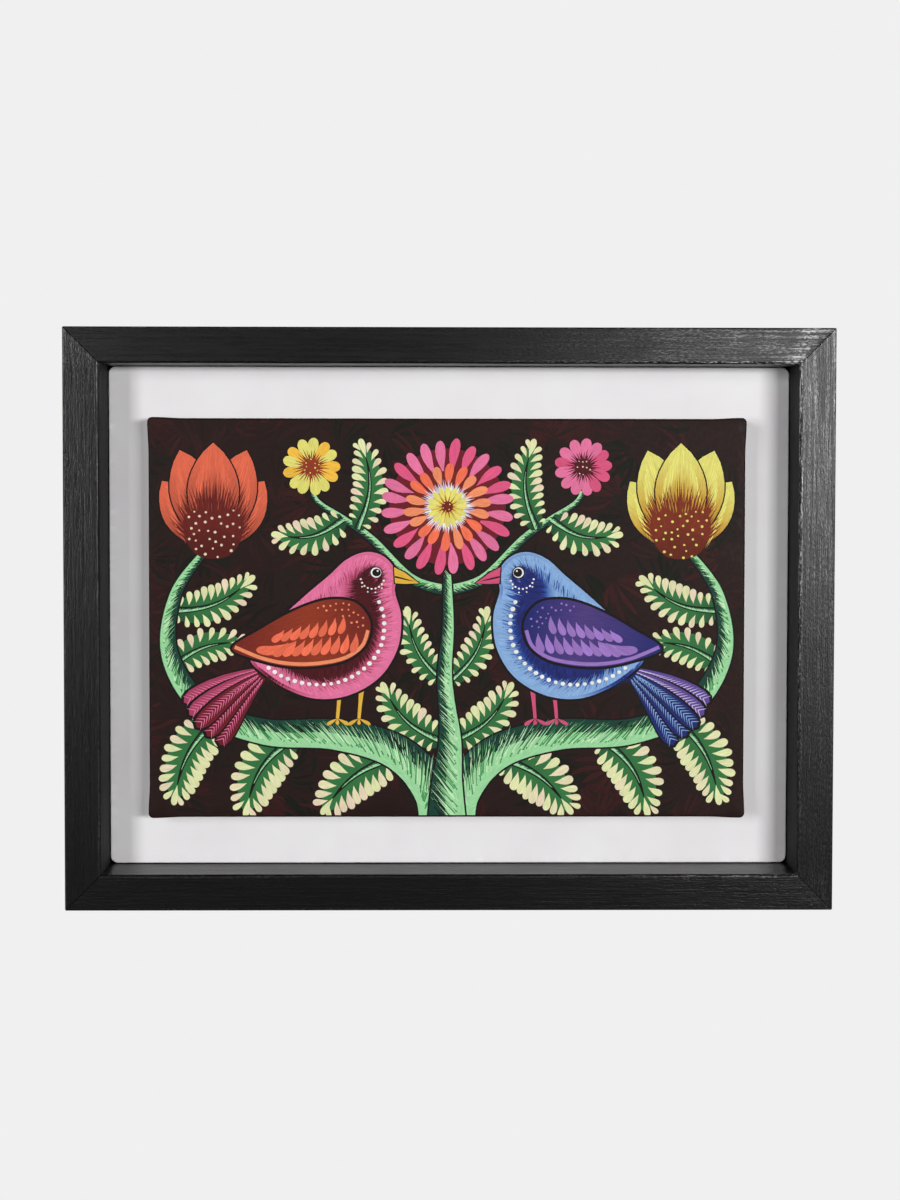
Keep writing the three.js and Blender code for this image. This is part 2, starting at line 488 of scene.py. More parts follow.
def rounded_outline(width, height, radius, flare=0.0):
    """A rectangle with round corners and, with a flare, sides drawn in between them, anticlockwise."""
    points = []
    for index, signs in enumerate(((1, 1), (-1, 1), (-1, -1), (1, -1))):
        middle = np.array(signs) * (width / 2 - radius, height / 2 - radius)
        for i in range(CORNER_STEPS):
            points.append(middle + radius * toward((index + i / CORNER_STEPS) * pi / 2))
        out = toward((index + 1) * pi / 2)
        start = middle + radius * out
        length = (width if index % 2 == 0 else height) - 2 * radius
        count = ceil(length / OUTLINE_STEP_MM)
        for i in range(count):
            along = length * i / count
            share = min(min(along, length - along) / PANEL_FLARE_LENGTH_MM, 1)
            drawn_in = flare * (1 - cos(pi * share)) / 2
            points.append(start + left_turned(out) * along - out * drawn_in)
    return np.array(points)


def edge_loop(triangles):
    """The points round the edge of a triangulated area, in order."""
    sides = {side for a, b, c in triangles for side in ((a, b), (b, c), (c, a))}
    following = {start: end for start, end in sides if (end, start) not in sides}
    loop = [min(following)]
    while following[loop[-1]] != loop[0]:
        loop.append(following[loop[-1]])
    return loop


def plate(flat, triangles, thickness, radius, steps, sunk=0.0):
    """Points and faces of a plate with a triangulated front, its edge eased over and its back at Y = 0."""
    loop = edge_loop(triangles)
    depth = np.full(len(flat), thickness) - sunk
    depth[loop] = thickness
    points = [np.stack([flat[:, 0], -depth, flat[:, 1]], 1)]
    out = outward_normals(flat[loop])
    levels = [(radius * sin(angle), thickness - radius * (1 - cos(angle)))
              for angle in (pi / 2 * i / steps for i in range(1, steps + 1))]
    rows = [loop]
    for outwards, level in levels + [(radius, thickness / 2), (radius, 0.0)]:
        x, z = (flat[loop] + out * outwards).T
        points.append(np.stack([x, np.full(len(x), -level), z], 1))
        first = len(flat) + (len(rows) - 1) * len(loop)
        rows.append(range(first, first + len(loop)))
    return np.vstack(points), triangles + sleeve(rows) + [tuple(rows[-1][::-1])]


def back_middle(node):
    """The middle of a node's back face."""
    low, high = box_of(node)
    return np.array([(low[0] + high[0]) / 2, high[1], (low[2] + high[2]) / 2])


def make_board():
    low, high = box_of("backing_board")
    width, thickness, height = high - low
    eased = 2 * BOARD_EDGE_MM
    outline = rounded_outline(width - eased, height - eased, BOARD_CORNER_MM - BOARD_EDGE_MM)
    inner = jittered_grid(outline, BOARD_STEP_MM, random.Random(3))
    area = list(range(len(outline)))
    flat, triangles, _, _ = triangulated(np.vstack([outline, inner]), [], [area], 1)
    waves = BOARD_WAVE_MM * value_noise(5, flat[:, 0] + 500, flat[:, 1] + 500, 38.0, 31.0)
    points, faces = plate(flat, triangles, thickness, BOARD_EDGE_MM, 4, waves)
    edge = np.clip((thickness + points[:, 1]) / 2.5, 0, 1)
    edge[:len(flat)] = 0
    placed = points + back_middle("backing_board")
    made = new_piece("backing_board_painted", placed, faces, white_paint(), "backing_board")
    hold(made, "edge", "POINT", edge)


# The painting, drawn flat: x to the right and z up from the panel's middle, in millimetres

NIGHT = rgb(24, 18, 20)
GROUND = rgb(38, 22, 19)
MOSS = rgb(19, 23, 15)
MAROON = rgb(57, 22, 21)
CREAM = rgb(232, 236, 178)
SHELL = rgb(240, 218, 190)
WHITE = rgb(246, 244, 240)
LEAF = rgb(52, 116, 64)
DEEP_LEAF = rgb(28, 74, 46)
MINT = rgb(160, 222, 162)
PALE_MINT = rgb(196, 236, 186)
FOREST = rgb(24, 66, 54)
PINK = rgb(232, 118, 160)
ROSE = rgb(214, 84, 124)
CRIMSON = rgb(112, 28, 38)
WINE = rgb(84, 24, 32)
CORAL = rgb(232, 108, 78)
SALMON = rgb(248, 148, 104)
RUST = rgb(150, 58, 34)
BRICK = rgb(118, 38, 32)
SUN = rgb(232, 225, 118)
GOLD = rgb(232, 182, 66)
LILAC = rgb(214, 200, 232)
ORCHID = rgb(158, 120, 196)
VIOLET = rgb(96, 74, 150)
NAVY = rgb(32, 42, 110)
ROYAL = rgb(40, 78, 164)
SKY = rgb(138, 176, 222)

# One brush stroke or painted area. Colour is one colour, or a function from points to colours
Stroke = namedtuple("Stroke", "outline colour direction step")
strokes = []
dice = random.Random(7)


def lay(outline, colour, direction=None, step=0.0, shade=0.05):
    """Paints an area over what is there. A step above 0 gives a changing colour inner points to hold it."""
    outline = np.asarray(outline, float)
    if doubled_area(outline) < 0:
        outline = outline[::-1]
    if direction is None:
        spread = outline - outline.mean(axis=0)
        direction = spread[np.argmax((spread ** 2).sum(axis=1))]
    direction = np.asarray(direction, float)
    if not callable(colour):
        colour = colour * (1 + shade * dice.uniform(-1, 1))
    strokes.append(Stroke(outline, colour, direction / max(np.linalg.norm(direction), 1e-9), step))


def smooth(points, step=1.5, closed=False):
    """A smooth curve through the points, sampled about every step."""
    points = np.asarray(points, float)
    count = len(points)
    curve = []
    for i in range(count if closed else count - 1):
        picks = np.array([i - 1, i, i + 1, i + 2])
        picks = picks % count if closed else picks.clip(0, count - 1)
        a, b, c, d = points[picks]
        samples = max(2, ceil(np.linalg.norm(c - b) / step))
        t = np.arange(samples)[:, None] / samples
        curve.append(0.5 * (2 * b + (c - a) * t + (2 * a - 5 * b + 4 * c - d) * t ** 2
                            + (3 * b - a - 3 * c + d) * t ** 3))
    if not closed:
        curve.append(points[-1:])
    return np.vstack(curve)


def bowed(start, way, bend, t):
    """Points at shares t of the way from a start, bowed to its left by a share of its length."""
    return start + way * t[:, None] + left_turned(way) * (bend * np.sin(pi * t))[:, None]


def at_share(share, shares, curve):
    """The point of a curve, or the vector along it, at one share of its way."""
    return np.array([np.interp(share, shares, values) for values in curve.T])


def circle(count, turned=0.0):
    """Points round a circle with a radius of one."""
    angles = (np.arange(count) + turned) / count * 2 * pi
    return np.stack([np.cos(angles), np.sin(angles)], 1)


def spokes(count, shaken=0.0, turned=0.0):
    """Unit directions all round, each shaken by up to a share of the angle between two."""
    for k in range(count):
        shift = dice.uniform(-shaken, shaken) if shaken else 0
        yield toward((k + shift) / count * 2 * pi + turned)


def left_of(curve):
    """The unit direction to the left of an open curve at each of its points."""
    return left_turned(unit(np.gradient(curve, axis=0)))


def ribbon(spine, left, right=None):
    """A band along a spine with these widths to each side."""
    side = left_of(spine)
    right = left if right is None else right
    one = spine + side * np.asarray(left)[:, None]
    other = spine - side * np.asarray(right)[:, None]
    return parted(np.vstack([other, one[::-1]]))


def parted(outline):
    """An outline without points that fall together."""
    gap = np.linalg.norm(outline - np.roll(outline, 1, axis=0), axis=1)
    return outline[gap > 0.02]


def is_inside(points, outline):
    """For each point, whether it is inside the outline."""
    found = np.zeros(len(points), bool)
    ends = np.roll(outline, -1, axis=0)
    for (x1, z1), (x2, z2) in zip(outline, ends):
        if z1 == z2:
            continue
        crosses = (z1 > points[:, 1]) != (z2 > points[:, 1])
        found ^= crosses & (points[:, 0] < (x2 - x1) * (points[:, 1] - z1) / (z2 - z1) + x1)
    return found


def jittered_grid(outline, step, shaken):
    """Points spread evenly but not in rows, inside an outline."""
    low, high = outline.min(axis=0), outline.max(axis=0)
    points = [(x + shaken.uniform(-0.3, 0.3) * step, z + shaken.uniform(-0.3, 0.3) * step)
              for x in np.arange(low[0], high[0], step) for z in np.arange(low[1], high[1], step)]
    points = np.array(points).reshape(-1, 2)
    return points[is_inside(points, outline)]


def blend(stops, share):
    """Colours at shares of the way through (share, colour) stops."""
    places = [place for place, _ in stops]
    colours = np.array([colour for _, colour in stops])
    return np.stack([np.interp(share, places, channel) for channel in colours.T], -1)


def fade(start, end, *stops):
    """A colour that changes along a line from start to end."""
    start, end = np.array([start, end], float)
    way = (end - start) / np.sum((end - start) ** 2)
    return lambda points: blend(stops, (points - start) @ way)


def glow(curve, reach, *stops):
    """A colour that changes with the distance from a curve, as a share of the reach."""
    return lambda points: blend(
        stops, np.min(np.linalg.norm(points[:, None] - curve[None], axis=2), axis=1) / reach)


def comma(start, end, width, colour, bend=0.0, head=0.3):
    """A comma stroke, from a fine tail at the start to a full round head at the end."""
    start, end = np.array([start, end], float)
    t = np.array([0, 0.16, 0.34, 0.52, 0.68, 0.8, 0.9, 0.965, 1.0])
    neck = 1 - head
    tail = np.sin(pi / 2 * np.minimum(t / neck, 1)) ** 1.3
    cap = np.sqrt(np.clip(1 - (np.maximum(t - neck, 0) / head) ** 2, 0, 1))
    half = width / 2 * np.maximum(tail * cap, 0.004)
    lay(ribbon(bowed(start, end - start, bend, t), half), colour, end - start)


def hair(start, end, width, colour, bend=0.0):
    """A fine stroke that tapers to nothing."""
    start, end = np.array([start, end], float)
    way = end - start
    side = left_turned(way)
    middle = start + way * 0.5 + side * bend
    root = side / max(np.linalg.norm(side), 1e-9) * width / 2
    lay([start - root, middle - root * 0.8, end, middle + root * 0.8, start + root], colour, way, shade=0.1)


def dot(centre, radius, colour, sides=9):
    turn = dice.uniform(0, 1)
    squash = dice.uniform(0.85, 1.0)
    lay(centre + radius * (circle(sides, turn) * (1, squash)), colour)


def dots_along(curve, radius, spacing, colour):
    """A string of dots, hardly ever quite the same size."""
    lengths = lengths_along(curve)
    for along in np.arange(spacing / 2, lengths[-1], spacing):
        dot(at_share(along, lengths, curve), radius * dice.uniform(0.85, 1.12), colour)


def specks(outline, count, radius, colour):
    """Small dots scattered inside an outline."""
    low, high = outline.min(axis=0), outline.max(axis=0)
    kept = []
    for _ in range(count * 30):
        point = np.array([dice.uniform(low[0], high[0]), dice.uniform(low[1], high[1])])
        apart = all(np.linalg.norm(point - other) > radius * 4.2 for other in kept)
        if apart and is_inside(point[None], outline)[0]:
            kept.append(point)
            dot(point, radius * dice.uniform(0.7, 1.15), colour, 7)
        if len(kept) == count:
            break


def outlined(outline, colour, width=1.1, step=0.0, direction=None):
    """An area with a dark line round it."""
    outline = np.asarray(outline, float)
    lay(outline + outward_normals(outline) * width, NIGHT, direction, shade=0)
    lay(outline, colour, direction, step, shade=0)


def hatch(curve, directions, length, width, colours):
    """Hairs from the points of a curve, each in its own direction."""
    for start, way in zip(curve, directions):
        reach = length * dice.uniform(0.65, 1.1)
        way = way + left_turned(way) * dice.gauss(0, 0.1)
        breadth = width * dice.uniform(0.7, 1.2)
        colour = dice.choice(colours)
        hair(start - way * 0.2, start + way * reach, breadth, colour, dice.uniform(-0.04, 0.04))


def ground():
    """The dark ground, with low leaf-like fans of green-black and maroon all over it."""
    for x in np.arange(-150, 151, 17.0):
        for z in np.arange(-102, 103, 15.0):
            root = np.array([x + dice.uniform(-7, 7), z + dice.uniform(-7, 7)])
            heading = dice.uniform(0, 2 * pi)
            tone = blend([(0, MOSS), (0.5, GROUND), (1, MAROON)], dice.random())
            for turn in (-0.95, 0.85, -0.7, 0.6, -0.45, 0.35, -0.2, 0.1):
                way = toward(heading + turn + dice.uniform(-0.12, 0.12))
                reach = dice.uniform(12, 24)
                touched = tone * dice.uniform(0.8, 1.2)
                width = dice.uniform(1.3, 2.8)
                comma(root + way * 2, root + way * reach, width, touched, turn * 0.15, 0.45)


def leaf(base, tip, width, bend=0.12):
    """A green leaf edged all round with cream comma strokes, its stalk running in as a midrib."""
    base, tip = np.array([base, tip], float)
    way = tip - base
    t = np.linspace(0, 1, 25)
    spine = bowed(base, way, bend, t)
    half = width / 2 * np.sin(pi * (0.05 + 0.945 * t) ** 0.84) ** 0.7
    green = fade(base, tip, (0, DEEP_LEAF), (0.3, LEAF), (1, LEAF * 1.1))
    lay(ribbon(spine, half * 0.8 + 0.1), green, way, 3.0)
    left = left_of(spine)
    ahead = -left_turned(left)
    pairs = round(np.linalg.norm(way) / 4.5)
    for hand in (1, -1):
        for k in range(pairs):
            share = 0.07 + 0.91 * (k + 0.25 * (hand + 1)) / pairs
            at, out, on = [at_share(share, t, line) for line in (spine, left * hand, ahead)]
            reach = np.interp(share, t, half)
            lean = -0.1 + 1.5 * share ** 1.6
            root = at + out * reach * 0.22 + out * dice.uniform(0, 1.2) - on * 0.6
            head = at + out * (reach * 0.9 + dice.uniform(0.8, 2.0)) + on * lean * (2.0 + reach * 0.4)
            breadth = min(4.3, 0.2 + np.linalg.norm(head - root) * 0.42) * dice.uniform(0.9, 1.04)
            tone = blend([(0, CREAM), (1, SHELL)], dice.random() ** 2.5)
            comma(root, head, breadth, tone, hand * -0.05, 0.26)
    comma(spine[20], spine[-1] + ahead[-1] * 2.2, 3.4, CREAM, 0.0, 0.26)
    lay(ribbon(spine[:21], (0.055 * width + 0.7) * np.linspace(1, 0.03, 21) ** 0.6), NIGHT, way, shade=0)
    branch(spine[:17], (0.045 * width + 0.35) * np.linspace(1, 0.12, 17), 1 if way[0] > 0 else -1, 0.0)


def branch(spine, half, dark_side=1, line=0.9):
    """A branch: pale mint along one side, dark along the other, with feathered hatching between."""
    if line:
        lay(ribbon(spine, half + line), NIGHT, shade=0)
    lay(ribbon(spine, half), FOREST, shade=0)
    sides = (half * 0.08, half)
    lay(ribbon(spine, *sides[::dark_side]), MINT, shade=0)
    fine = smooth(spine, 0.75)
    widths = tapering(fine, np.linspace(0, 1, len(half)), half)
    left = left_of(fine) * dark_side
    lean = (left - dark_side * left_turned(left) * 1.15) / hypot(1, 1.15)
    for i, (place, broad) in enumerate(zip(fine, widths)):
        start = place - left[i] * broad * dice.uniform(0.3, 0.7)
        end = start + lean[i] * (broad * dice.uniform(1.4, 2.1))
        hair(start, end, min(0.62, 0.2 + 0.1 * broad), dice.choice((MINT, PALE_MINT, LEAF * 1.7)))
        if i % 2 == 0 and broad > 1:
            start = place + left[i] * broad * dice.uniform(0.45, 0.95)
            end = start - lean[i] * broad * dice.uniform(0.9, 1.7)
            hair(start, end, 0.5, dice.choice((FOREST, DEEP_LEAF, NIGHT)))


def tapering(spine, shares, widths):
    """A width at each point of a spine, from a few widths at shares of its way."""
    return np.interp(np.linspace(0, 1, len(spine)), shares, widths)


def petal_outline(base, tip, width):
    """A pointed petal from a base to a tip, widest a little past its middle."""
    way = tip - base
    side = left_turned(way) / np.linalg.norm(way)
    t = np.linspace(0, 1, 13)
    shape = np.sin(pi * t ** (log(0.5) / log(0.56))) ** 0.8
    one, other = [base + way * t[:, None] + side * (hand * width / 2 * shape)[:, None] for hand in (1, -1)]
    return parted(np.vstack([one, other[::-1]]))


def lotus(foot, pale, mid, deep, speck, height=56, spread=0.62):
    """An open flower of pointed petals, pale at their tips and deep and speckled at the foot."""
    foot = np.array(foot, float)
    fans = ((-0.98, 0.8, 0.38), (0.98, 0.8, 0.38), (-0.5, 0.98, 0.42), (0.5, 0.98, 0.42), (0, 1.0, 0.46))
    petals = []
    for aim, reach, breadth in fans:
        way = toward(pi / 2 - aim * spread)
        side = left_turned(way)
        petals.append((way, side, height * reach, height * breadth))
        tip = foot + height * reach * way
        outline = petal_outline(foot, tip, height * breadth)
        outlined(outline, fade(foot, tip, (0.26, deep), (0.5, mid), (0.86, pale)), 0.7, 2.4)
        for k in range(25):
            off = (k - 12) / 12 + dice.uniform(-0.04, 0.04)
            across = side * off * height * breadth
            start = tip - way * height * (0.05 + 0.26 * abs(off) ** 1.4) + across * 0.3
            end = start - way * height * 0.34 * dice.uniform(0.5, 1) + across * 0.1
            hair(start, end, 0.75, pale * 1.05)
            root = foot + way * height * 0.26 + across * 0.24
            far = 0.62 + 0.14 * dice.random() - 0.16 * off ** 2
            end = foot + way * height * reach * far + across * 0.4
            hair(root, end, 0.9, dice.choice((deep, deep, mid * 0.75)))
    cup = smooth([(-0.26, 0.34), (-0.25, 0.14), (-0.12, -0.02), (0.12, -0.02), (0.25, 0.14), (0.26, 0.34),
                  (0.13, 0.4), (0, 0.34), (-0.13, 0.4)], 0.1, True) * height + foot
    lay(cup, fade(foot, foot + (0, height * 0.4), (0, deep * 0.62), (1, deep)), (0, 1), 3.0)
    for way, side, reach, breadth in petals:
        for k in range(13):
            off = (k - 6) / 6
            root = foot + way * height * 0.24 + side * off * breadth * 0.3
            far = 0.58 + 0.12 * dice.random() - 0.1 * off ** 2
            end = foot + way * reach * far + side * off * breadth * 0.42
            hair(root, end, 1.0, deep)
    specks((cup - foot) * (0.92, 1.02) + foot, 34, 0.72, speck)


def rosette(centre, radius):
    """A round flower: rings of comma petals in pink, orange and yellow about a rayed heart."""
    def at(way, share):
        return centre + way * radius * share

    def petals(count, inner, outer, breadth, tones):
        for way in spokes(count, 0.1, 0.1):
            start = at(way, inner + dice.uniform(-0.04, 0.03))
            end = at(way, outer + dice.uniform(-0.03, 0.03))
            comma(start, end, breadth, dice.choice(tones), 0.04)

    rim = circle(48)
    lay(at(rim, 0.9), NIGHT, shade=0)
    lay(at(rim, 0.86), CRIMSON, shade=0)
    petals(24, 0.5, 1.0, 5.2, (PINK, PINK * 1.05, ROSE * 1.2))
    lay(at(rim, 0.53), BRICK, shade=0)
    petals(18, 0.27, 0.63, 4.5, (SALMON, CORAL * 1.2))
    lay(at(rim, 0.27), GOLD, shade=0)
    for way in spokes(90, 0.3):
        hair(at(way, 0.24), at(way, dice.uniform(0.33, 0.43)), 0.7, dice.choice((LILAC, WHITE)))
    for way in spokes(16, 0.1):
        comma(at(way, 0.08), at(way, 0.3), 2.6, dice.choice((SUN, SUN * 1.06)))
    dot(centre, radius * 0.085, BRICK, 14)
    for way in spokes(14):
        hair(centre + way, at(way, dice.uniform(0.14, 0.2)), 0.6, BRICK)
    specks(at(rim, 0.07), 5, 0.4, SUN)


def daisy(centre, radius, tones, eye, speck):
    """A small round flower."""
    rim = circle(24) * radius
    lay(centre + rim * 0.84, NIGHT, shade=0)
    lay(centre + rim * 0.7, eye, shade=0)
    for way in spokes(13, 0.1):
        end = centre + way * radius
        comma(centre + way * radius * 0.2, end, 4.5 * radius / 12, dice.choice(tones), 0.03)
        for lean in (-0.09, 0.09):
            turned = (way + lean * left_turned(way)) * radius
            hair(centre + turned * 0.3, centre + turned * dice.uniform(0.55, 0.75), 0.6, eye)
    lay(centre + rim * 0.3, eye, shade=0)
    specks(centre + rim * 0.27, 9, 0.42, speck)


def bird(place, facing, scale, coat, wing_tones, tail_tones, beak):
    """A songbird on its perch. Coat is its (pale, mid, deep) colours, and facing is 1 to the right."""
    def at(points):
        return np.asarray(points, float) * scale * (facing, 1) + place

    pale, mid, deep = coat
    darks = (deep, deep * 0.8, deep * 1.3)
    # Tail feathers, the farthest first
    for k, (x, z) in enumerate(((-60, -62), (-80, -38), (-67, -57), (-77, -45), (-73, -52))):
        root, tip = at([(-29, -17), (x, z)])
        tone, line = tail_tones[k % len(tail_tones)]
        bend = -0.04 * facing
        comma(root, tip + (tip - root) * 0.03, 11.4 * scale, NIGHT, bend, 0.16)
        comma(root, tip, 9.2 * scale, tone, bend, 0.16)
        way = tip - root
        side = left_turned(way) / np.linalg.norm(way)
        shares = 0.2 + 0.038 * np.arange(20)
        for share, start in zip(shares, bowed(root, way, bend, shares)):
            for hand in (1, -1):
                barb = way * 0.07 + side * hand * 3.3 * scale * min(1, share * 1.5)
                hair(start, start + barb, 0.5, line)
    # Legs and feet
    for x in (7, 19):
        hip, ankle = at([(x, -30), (x - 1.5, -47)])
        shin = np.array([hip, (hip + ankle) / 2, ankle])
        lay(ribbon(shin, np.array([1.5, 1.0, 0.9]) * scale), beak)
        for toe in (-6, 0, 6.5):
            comma(ankle, ankle + (toe * scale, -3.6 * scale), 2.0 * scale, beak)
    body = smooth([(22, 46), (32, 43), (38.5, 34), (37.5, 24), (41, 10), (39, -8), (29, -24), (12, -34),
                   (-6, -36), (-22, -31), (-36, -22), (-43, -14), (-38, -5), (-27, 8), (-12, 22), (1, 33),
                   (11, 42)], 1.2, True)
    core = at(smooth([(23, 30), (21, 12), (16, -6), (4, -16), (-14, -20), (-30, -16)], 1.0))
    coloured = glow(core, 20 * scale, (0.3, deep), (0.52, mid), (0.8, pale))
    outlined(at(body), coloured, 1.2, 2.0, (facing, 0.4))
    # Plumage: fine strokes out from the dark middle, and in from the edge
    for hand in (1, -1):
        side = left_of(core) * hand
        ways = unit(side + np.array([-0.5 * facing, -0.3]))
        for lift in (2.0, 5.0):
            starts = smooth(core + side * lift * scale, 0.5)
            picks = np.linspace(0, len(core) - 1, len(starts)).astype(int)
            hatch(starts, ways[picks], 7.5 * scale, 0.6, darks)
    rim = at(smooth(body, 0.62, True))
    inwards = -outward_normals(rim)
    lean = unit(inwards + np.array([-0.55 * facing, -0.35]))
    for lift, reach, tones in ((5.2, 8.0, (mid, pale * 0.8)), (2.0, 8.5, (pale, pale * 1.06))):
        hatch(rim + inwards * lift * scale, lean, reach * scale, 0.66, tones)
    # A string of white dots down the breast
    breast = [(28, 20), (31.5, 8), (29.5, -7), (20.5, -19), (7, -26.5), (-8, -28), (-23, -24.5), (-34, -18)]
    dots_along(at(smooth(breast, 1.0)), 1.25 * scale, 4.1 * scale, WHITE)
    # Head
    cheek, eye = at([(25, 32), (27, 34.5)])
    for way in spokes(60):
        end = cheek + way * dice.uniform(6.5, 9.0) * scale
        hair(cheek + way * 3.2 * scale, end, 0.6, dice.choice(darks))
    for k in range(9):
        spot = cheek + toward(radians(190 + 19 * k)) * (facing, 1) * 6.6 * scale
        dot(spot, 0.62 * scale, WHITE, 7)
        if k % 2:
            dot(spot + (0, -2.2 * scale), 0.5 * scale, WHITE, 7)
    dot(eye, 3.6 * scale, NIGHT, 16)
    dot(eye, 3.0 * scale, WHITE, 16)
    dot(eye + (0.3 * facing, 0), 2.45 * scale, NIGHT, 16)
    dot(eye + (0.9 * facing * scale, 0.9 * scale), 0.6 * scale, WHITE, 7)
    outlined(at([(37, 37.5), (43, 34.5), (51, 28.5), (43, 28.2), (37.6, 28.5)]), beak, 0.8)
    hair(*at([(37.5, 32.2), (49, 29.4)]), 0.9, NIGHT)
    # Wing, with its pale lower edge, three rows of feathers and a speckled shoulder
    wing = smooth([(12, 19), (20, 14), (24, 5), (21, -6), (11, -14), (-4, -17.5), (-20, -18), (-36, -15),
                   (-53, -8), (-37, 3), (-19, 13), (-2, 19)], 1.2, True)
    rim_pale, rim_mid, rim_deep, feather = wing_tones
    tip, shoulder = at([(-53, -8), (22, 8)])
    coloured = fade(shoulder, tip, (0, rim_deep), (0.4, rim_mid), (1, rim_deep))
    outlined(at(wing), coloured, 1.3, 2.5, (facing, 0.2))
    lower = at(smooth([(23.5, 2), (20, -7), (10.5, -13.8), (-4, -17), (-20, -17.4), (-36, -14.5),
                       (-52, -8)], 1.2))
    sides = (np.zeros(len(lower)), np.full(len(lower), 2.0 * scale))
    lay(ribbon(lower, *sides[::facing]), rim_pale, shade=0)
    rows = (((-17, -3.5), (-26, -6.0), 3, 22, 14, 4.6, (-163, -6)),
            ((16, 1.0), (-22, -4.5), 9, 11.5, 11, 4.4, (-104, -34)),
            ((9, 10.5), (-24, 2.5), 8, 10.5, 9.5, 4.0, (-104, -34)))
    for (x1, z1), (x2, z2), count, first, last, breadth, (turn, turning) in rows:
        for k in range(count):
            share = k / (count - 1)
            root = np.array([x1 + (x2 - x1) * share, z1 + (z2 - z1) * share])
            end = root + (first + (last - first) * share) * toward(radians(turn + turning * share))
            comma(*at([root, end]), breadth * scale, feather if k % 2 else feather * 0.86, 0.08 * facing)
    shoulder = smooth([(11, 17), (18, 12.5), (21, 5), (15, 4), (6, 12), (-6, 14), (2, 17.5)], 1.5, True)
    specks(at(shoulder), 20, 0.66 * scale, rim_pale)


def leaves(hand, *rows):
    """Leaves given by their foot, tip, width and bend, on the right or mirrored to the left."""
    for x, z, tip_x, tip_z, width, bend in rows:
        leaf((hand * x, z), (hand * tip_x, tip_z), width, hand * bend)


def paint_picture():
    """Two songbirds on a branching stem, about a round flower."""
    ground()
    # Tendrils and small flowers above the birds
    route = np.array([(0, 14), (18, 20), (38, 40), (52, 50), (66, 60), (68, 74)])
    flowers = ((-1, (SUN, GOLD * 1.15), RUST, SUN), (1, (PINK, ROSE * 1.1), WINE, SHELL))
    for hand, tones, heart, speck in flowers:
        tendril = smooth(route * (hand, 1), 1.5)
        branch(tendril, np.linspace(2.6, 0.9, len(tendril)), -hand)
        leaves(hand, (52, 50, 86, 42, 19, -0.14), (45, 45, 43, 88, 17, 0.12))
        daisy((hand * 68, 76), 14.5, tones, heart, speck)
    # Leaves beside the middle stem
    for hand in (-1, 1):
        leaves(hand, (2, -62, 32, -34, 20, -0.12), (1, -32, 20, 4, 15, -0.12))
    # Main branches, with leaves that hang under them and stand outside
    route = np.array([(2, -104), (7, -86), (26, -67), (56, -58.5), (92, -57), (122, -45), (139, -18),
                      (136, 12), (121, 34)])
    for hand in (-1, 1):
        leaves(hand, (27, -70, 62, -97, 27, 0.1), (77, -60, 101, -98, 26, 0.12),
               (115, -50, 137, -92, 25, 0.1), (138, -24, 102, -12, 18, -0.1), (138, 4, 98, 20, 19, 0.12))
        arm = smooth(route * (hand, 1), 2.0)
        branch(arm, tapering(arm, [0, 0.14, 0.4, 0.7, 0.9, 1], [12, 9.0, 7.0, 4.8, 2.6, 1.4]), hand)
    stem = smooth([(0, -104), (0, -84), (1.5, -60), (-1.2, -30), (0.5, -4), (0, 22)], 2.0)
    branch(stem, tapering(stem, [0, 0.2, 0.45, 1], [10, 7, 4.2, 1.8]))
    lotus((-117, 32), CORAL * 0.98, CORAL * 0.64, BRICK * 0.8, SHELL)
    lotus((117, 32), SUN, GOLD * 0.8, RUST * 0.7, SUN)
    bird(np.array([-60, -8]), 1, 0.9, (PINK, ROSE * 0.75, WINE * 0.8),
         (SALMON, RUST, BRICK, CORAL * 1.25), ((CRIMSON, PINK), (ROSE * 0.6, PINK)), GOLD)
    bird(np.array([60, -8]), -1, 0.9, (SKY, ROYAL, NAVY),
         (ORCHID, VIOLET * 0.7, NAVY, ORCHID * 1.1), ((NAVY, SKY), (VIOLET, LILAC)), ROSE)
    rosette((0, 56), 34)


def arranged(outline):
    """All strokes as one flat mesh: its points, its triangles, and the topmost stroke on each triangle."""
    points = list(outline)
    areas = [list(range(len(outline)))]
    inner = set()
    for stroke in strokes:
        start = len(points)
        points.extend(stroke.outline)
        areas.append(list(range(start, len(points))))
        if stroke.step:
            points.extend(jittered_grid(stroke.outline, stroke.step, dice))
            inner.update(range(areas[-1][-1] + 1, len(points)))
    flat, triangles, sources, owners = triangulated(points, [], areas, 1)
    kept = [(face, max(owner)) for face, owner in zip(triangles, owners) if 0 in owner]
    triangles = [face for face, _ in kept]
    tops = np.array([top for _, top in kept])
    shaded = {i for face, top in kept if top and strokes[top - 1].step for i in face}
    holding = [i for i, source in enumerate(sources) if i in shaded and inner.intersection(source)]
    return merged(flat, triangles, tops, holding)


def lines_between_strokes(triangles, tops):
    """The edges where the topmost stroke changes, and the edges of the picture itself."""
    corners = np.array(triangles)
    sides = np.sort(np.concatenate([corners[:, (0, 1)], corners[:, (1, 2)], corners[:, (2, 0)]]), axis=1)
    owners = np.tile(tops, 3)
    order = np.lexsort((sides[:, 1], sides[:, 0]))
    sides, owners = sides[order], owners[order]
    twin = (sides[1:] == sides[:-1]).all(axis=1)
    is_first, is_second = np.append(twin, False), np.append(False, twin)
    changes = is_first & (owners != np.roll(owners, -1))
    border = ~is_first & ~is_second
    return sides[changes], sides[border]


